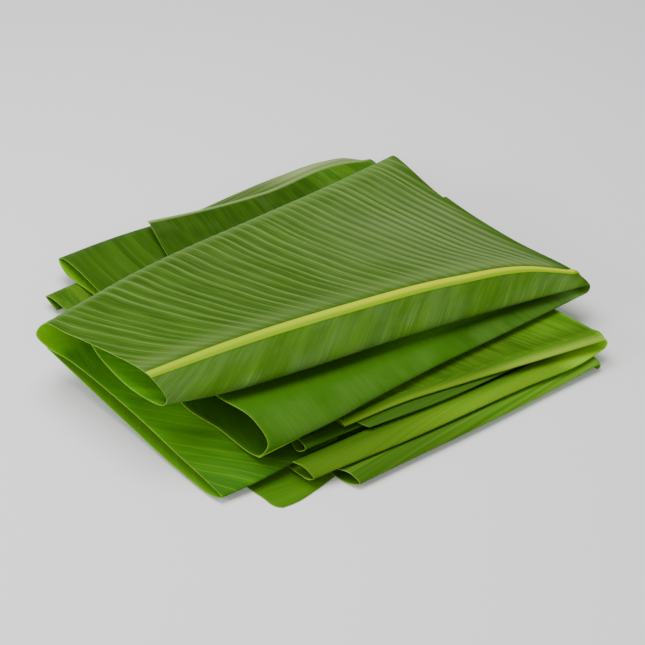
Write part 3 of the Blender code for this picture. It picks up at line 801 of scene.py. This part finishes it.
def inside_extra(nodes, colour):
    """Inside the top length: painted light where light shines through the blade, brightest in
    the back fold and on the lower ply, painted light on the second ply and in the rolls, and
    painted shade by the cut end of the lower ply and inside the tube on the way back."""
    # Painted light that shines through the thin blade in the back fold
    fold = nodes.stripe(nodes.from_rib, 95, 130, 170, 212)
    # Painted light, lifting the shade on the second ply and in the rolls
    second = nodes.product(nodes.over_width(230, 290, 0.15, 0.6), nodes.over_width(315, 345, 1, 0))
    rolls = nodes.over_width(-20, 10, 0.65, 0)
    colour = nodes.lighten(colour, second, rolls)
    colour = nodes.mix(fold, colour, (0.19, 0.5, 0.003))
    # Painted light that shines through the lower ply
    colour = nodes.mix(nodes.over_width(392, 404), colour, (0.08, 0.24, 0.003))
    lines = nodes.product(nodes.main_lines, nodes.stripe(nodes.from_rib, 290, 320, 388, 394),
                          0.22)
    colour = nodes.mix(lines, colour, (0.2, 0.4, 0.02))
    # Painted shade by the cut end, on the front fold and the lower ply
    lower = nodes.product(nodes.over_width(345, 375), nodes.over_length(-318, -292, -0.1, -0.6))
    colour = nodes.lighten(colour, lower)
    # Painted shade inside the tube on the way back
    shade_in_tube = nodes.over_length(-4, 10, 0, 0.8)
    return nodes.mix(shade_in_tube, colour, (0.015, 0.055, 0.001))


def ridged_extra(nodes, colour):
    """On the second length: the rolls with a paler ridge in place of a midrib, and the folds at
    the back."""
    colour = ridge_and_roll(nodes, colour)
    colour = light_on_rolls(nodes, colour)
    return back_folds(nodes, colour)


def ridge_and_roll(nodes, colour):
    """Streaks near the ridge, a roll on the way back that is lit along its lower side, and the
    bright line of the ridge."""
    away = nodes.math("ABSOLUTE", nodes.from_rib)
    near = nodes.product(nodes.between(away, 10, 60, 1, 0),
                         nodes.between(nodes.streaks, 0.38, 0.62, 0, 0.25))
    colour = nodes.mix(near, colour, (0.11, 0.23, 0.008))
    rolled = nodes.product(nodes.over_width(-6, 2, 1, 0), nodes.over_length(0, 10),
                           nodes.over_length(120, 240, 1, 0.6))
    colour = nodes.mix(nodes.product(rolled, 0.5), colour, (0.042, 0.112, 0.002))
    lit = nodes.product(rolled, nodes.over_width(-22, -11, 0, 0.75),
                        nodes.between(nodes.streaks, 0.35, 0.62, 0.5, 1))
    colour = nodes.mix(lit, colour, (0.125, 0.245, 0.007))
    on_ridge = nodes.product(nodes.over_width(-5.5, -0.5, 1, 0), nodes.over_length(-4, 8, 1, 0),
                             nodes.between(nodes.streaks, 0.3, 0.6, 0.65, 0.9))
    ridge = nodes.mix(nodes.over_length(-120, -60), (0.15, 0.28, 0.01), (0.2, 0.32, 0.025))
    return nodes.mix(on_ridge, colour, ridge)


def light_on_rolls(nodes, colour):
    """Painted light, lifting the shade on the rolls: lighter to the right, at the crosswise fold,
    and at both ends of the ply behind the ridge."""
    lighter = nodes.product(nodes.over_width(-2, 6, 1, 0), nodes.over_length(-110, -50, 0, 0.45),
                            nodes.over_length(130, 210, 1, 0))
    at_ends = nodes.math("ADD", nodes.over_length(-200, -140, 0.8, 0),
                         nodes.over_length(-60, -30, 0, 0.5))
    behind = nodes.product(nodes.stripe(nodes.from_rib, 4, 16, 60, 100), at_ends)
    turn = nodes.product(nodes.stripe(nodes.along_blade, -2, 4, 30, 60), 1.5)
    return nodes.lighten(colour, lighter, turn, behind)


def back_folds(nodes, colour):
    """Pale veins, and pale wax with painted sheen, on the folds at the back, with painted shade to
    the left and on the way back, painted light near the crosswise fold, and painted highlights
    along the fold's edge on the first ply and along its top on the way back."""
    at_back = nodes.over_width(180, 230)
    lines = nodes.product(nodes.main_lines, nodes.between(nodes.blotches, 0.42, 0.6, 0, 0.6))
    # Pale wax patches, with painted sheen
    bloom_and_sheen = nodes.between(nodes.blotches, 0.52, 0.68, 0, 0.4)
    pale = nodes.product(nodes.math("MAXIMUM", lines, bloom_and_sheen), at_back, 0.6)
    colour = nodes.mix(pale, colour, (0.1, 0.21, 0.035))
    # Painted shade to the left and on the way back, and painted light near the crosswise fold
    level = nodes.math("SUBTRACT", nodes.over_length(-80, -40, -0.34, 0.15),
                       nodes.over_length(5, 25, 0, 0.32))
    colour = nodes.lighten(colour, nodes.product(level, at_back))
    # Painted highlight along the edge of the back fold on the first ply
    crease_highlight = nodes.product(nodes.stripe(nodes.from_rib, 282, 287, 290, 296),
                           nodes.over_length(-10, 0, 0.8, 0))
    colour = nodes.mix(crease_highlight, colour, (0.24, 0.38, 0.1))
    # Painted highlight along the top of the fold on the way back
    crest_highlight = nodes.product(nodes.stripe(nodes.from_rib, 258, 268, 276, 290),
                          nodes.over_length(0, 10, 0, 0.5))
    return nodes.mix(crest_highlight, colour, (0.2, 0.32, 0.1))


def ridged_inside_extra(nodes, colour):
    """Inside the second length: painted shade within its rolls."""
    return nodes.shade(colour, nodes.over_width(20, 90, 0.35, 1))


def margin_extra(nodes, colour):
    """On the third length: a pale grey-green margin at the back, palest at the crosswise fold."""
    pale = nodes.over_width(225, 262)
    tone = nodes.mix(nodes.between(nodes.streaks, 0.35, 0.65), (0.045, 0.09, 0.015),
                     (0.1, 0.165, 0.035))
    tone = nodes.mix(nodes.over_width(328, 334, 0, 0.5), tone, (0.3, 0.38, 0.16))
    palest = nodes.product(nodes.over_length(-110, -50, 0, 0.8),
                           nodes.between(nodes.streaks, 0.35, 0.6, 0.55, 1))
    tone = nodes.mix(palest, tone, (0.34, 0.43, 0.17))
    return nodes.mix(pale, colour, tone)


def lower_extra(nodes, colour):
    """On the lowest length: lengthwise streaks on the roll and pale veins at the back."""
    near = nodes.product(nodes.over_width(40, 70, 1, 0),
                         nodes.between(nodes.streaks, 0.4, 0.65, 0, 0.35))
    colour = nodes.mix(near, colour, (0.12, 0.22, 0.02))
    at_back = nodes.over_width(250, 300)
    fresh = nodes.product(at_back, nodes.between(nodes.bands, 0.4, 0.6, 0, 0.25))
    colour = nodes.mix(fresh, colour, (0.15, 0.28, 0.006))
    by_fold = nodes.product(nodes.over_length(-170, -50), nodes.over_width(60, 120, 0.75, 0))
    return nodes.lighten(colour, by_fold)


def lower_inside_extra(nodes, colour):
    """Inside the lowest length: painted shade within its roll."""
    return nodes.shade(colour, nodes.over_width(8, 26, 0.4, 1))


def edge_material(name, colour):
    """The pale cut edge of the blade."""
    material = bpy.data.materials.new(name)
    nodes = Nodes(material)
    grain = nodes.noise(nodes.vector(*nodes.attribute("veins")[:2]), 1.3, 2)
    darker = tuple(0.7 * channel for channel in colour)
    nodes.put(nodes.mix(nodes.between(grain, 0.3, 0.7), colour, darker),
              nodes.shader.inputs["Base Color"])
    nodes.shader.inputs["Roughness"].default_value = 0.6
    return material


def centre_on_floor(leaves):
    """Shift the sheets so that the middle of the packet's box is over the origin, on the floor."""
    bpy.context.view_layer.update()
    graph = bpy.context.evaluated_depsgraph_get()
    corners = []
    for leaf in leaves:
        corners += [Vector(corner) for corner in leaf.evaluated_get(graph).bound_box]
    low = Vector(min(corner[i] for corner in corners) for i in range(3))
    high = Vector(max(corner[i] for corner in corners) for i in range(3))
    shift = Vector(((low.x + high.x) / 2, (low.y + high.y) / 2, low.z))
    for leaf in leaves:
        for vert in leaf.data.vertices:
            vert.co -= shift


def make_leaves():
    """The four lengths of leaf, each in place of its solid."""
    cut = edge_material("cut_edge", (0.17, 0.34, 0.015))
    top_outer = leaf_material("ribbed_leaf", (0.032, 0.088, 0.002), (0.056, 0.134, 0.007),
                              (0.08, 0.18, 0.02), 0.2, extra=ribbed_extra)
    top_inner = leaf_material("ribbed_leaf_inside", (0.036, 0.15, 0.002), (0.064, 0.215, 0.003),
                              (0.13, 0.28, 0.02), 0.2, extra=inside_extra,
                              edge=(0.34, 0.5, 0.02))
    second_outer = leaf_material("fresh_leaf", (0.032, 0.1, 0.002), (0.058, 0.148, 0.005),
                                 (0.1, 0.21, 0.015), 0.25, (0.4, 0.62), extra=ridged_extra)
    # The inside of the second length is pale enough to stand for light that shines through the thin
    # blade: painted light
    second_inner = leaf_material("fresh_leaf_inside", (0.08, 0.25, 0.002),
                                 (0.14, 0.34, 0.004), (0.18, 0.35, 0.02), 0.3,
                                 extra=ridged_inside_extra)
    third_outer = leaf_material("inner_leaf", (0.022, 0.08, 0.002), (0.05, 0.13, 0.008),
                                (0.1, 0.2, 0.03), 0.25, extra=margin_extra)
    third_inner = leaf_material("inner_leaf_inside", (0.025, 0.085, 0.002),
                                (0.05, 0.14, 0.006), (0.1, 0.2, 0.03), 0.25)
    lowest_outer = leaf_material("lower_leaf", (0.036, 0.115, 0.003), (0.07, 0.17, 0.007),
                                 (0.12, 0.23, 0.03), 0.3, extra=lower_extra)
    lowest_inner = leaf_material("lower_leaf_inside", (0.04, 0.14, 0.002),
                                 (0.075, 0.2, 0.004), (0.12, 0.26, 0.02), 0.3,
                                 extra=lower_inside_extra)
    leaves = [
        leaf_sheet("top_leaf", TOP_LINES, TOP_AXIS, TOP_COLUMNS, LOWER_COLUMNS, TOP_TURN,
                   [top_outer, top_inner, cut], 3, "midrib", TOP_BEND,
                   slanting_from=SLANT_FROM, pleated_up_to=TOP_FOLD),
        leaf_sheet("second_leaf", SECOND_LINES, SECOND_AXIS, PLAIN_COLUMNS, PLAIN_COLUMNS,
                   SECOND_TURN, [second_outer, second_inner, cut], 5, "ridge",
                   front_slopes=SLOPE_IN_ROLL),
        leaf_sheet("third_leaf", THIRD_LINES, THIRD_AXIS, PLAIN_COLUMNS, PLAIN_COLUMNS,
                   THIRD_TURN, [third_outer, third_inner, cut], 8, crossing_from=FAR_OFF),
        leaf_sheet("lowest_leaf", LOWEST_LINES, LOWEST_AXIS, PLAIN_COLUMNS, PLAIN_COLUMNS,
                   LOWEST_TURN, [lowest_outer, lowest_inner, cut], 11,
                   crossing_from=CROSSING_FROM, on_floor=True),
    ]
    centre_on_floor(leaves)
    stands_for = [("top_leaf_section", "ribbed_leaf"), ("second_leaf_section", "fresh_leaf"),
                  ("third_leaf_section", "inner_leaf"), ("lowest_leaf_section", "lower_leaf")]
    for leaf, (node, slot) in zip(leaves, stands_for):
        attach(leaf, "root")
        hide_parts(node)


def make_floor():
    """A plain pale floor."""
    mesh = bpy.data.meshes.new("floor")
    plane = bmesh.new()
    bmesh.ops.create_grid(plane, x_segments=1, y_segments=1, size=FLOOR_HALF)
    plane.to_mesh(mesh)
    plane.free()
    floor = bpy.data.objects.new("floor", mesh)
    bpy.context.scene.collection.objects.link(floor)
    floor.location.z = -FLOOR_DROP
    material = bpy.data.materials.new("floor")
    nodes = Nodes(material)
    nodes.shader.inputs["Base Color"].default_value = (0.9, 0.9, 0.9, 1)
    nodes.shader.inputs["Roughness"].default_value = 0.9
    mesh.materials.append(material)


def make_light(name, size, energy, place):
    """A square soft light that faces the packet."""
    lamp = bpy.data.lights.new(name, "AREA")
    lamp.size = size
    lamp.energy = energy
    light = bpy.data.objects.new(name, lamp)
    bpy.context.scene.collection.objects.link(light)
    light.location = place
    light.rotation_euler = (Vector(place) - LIT_POINT).to_track_quat("Z", "Y").to_euler()


def make_studio():
    """An even white surround, a large soft light overhead, and weaker ones from the left and the
    front."""
    world = bpy.data.worlds.new("surround")
    bpy.context.scene.world = world
    world.use_nodes = True
    background = world.node_tree.nodes["Background"]
    background.inputs["Color"].default_value = (1, 1, 1, 1)
    background.inputs["Strength"].default_value = SURROUND_STRENGTH
    make_light("overhead", 1.0, 18, (-0.1, 0.2, 1.25))
    make_light("left", 0.7, 13, (-1.4, 0.2, 0.55))
    make_light("front", 0.9, 7, (-0.5, -1.3, 0.7))


def make_camera():
    """A camera at the photograph's viewing angle."""
    camera = bpy.data.objects.new("camera", bpy.data.cameras.new("camera"))
    bpy.context.scene.collection.objects.link(camera)
    camera.data.lens = CAMERA_LENS
    camera.data.sensor_width = CAMERA_SENSOR
    azimuth, elevation = math.radians(CAMERA_AZIMUTH), math.radians(CAMERA_ELEVATION)
    back = Vector((math.sin(azimuth) * math.cos(elevation),
                   -math.cos(azimuth) * math.cos(elevation), math.sin(elevation)))
    camera.location = CAMERA_TARGET + back * CAMERA_DISTANCE
    camera.rotation_euler = back.to_track_quat("Z", "Y").to_euler()
    bpy.context.scene.camera = camera


make_leaves()
make_floor()
make_studio()
make_camera()
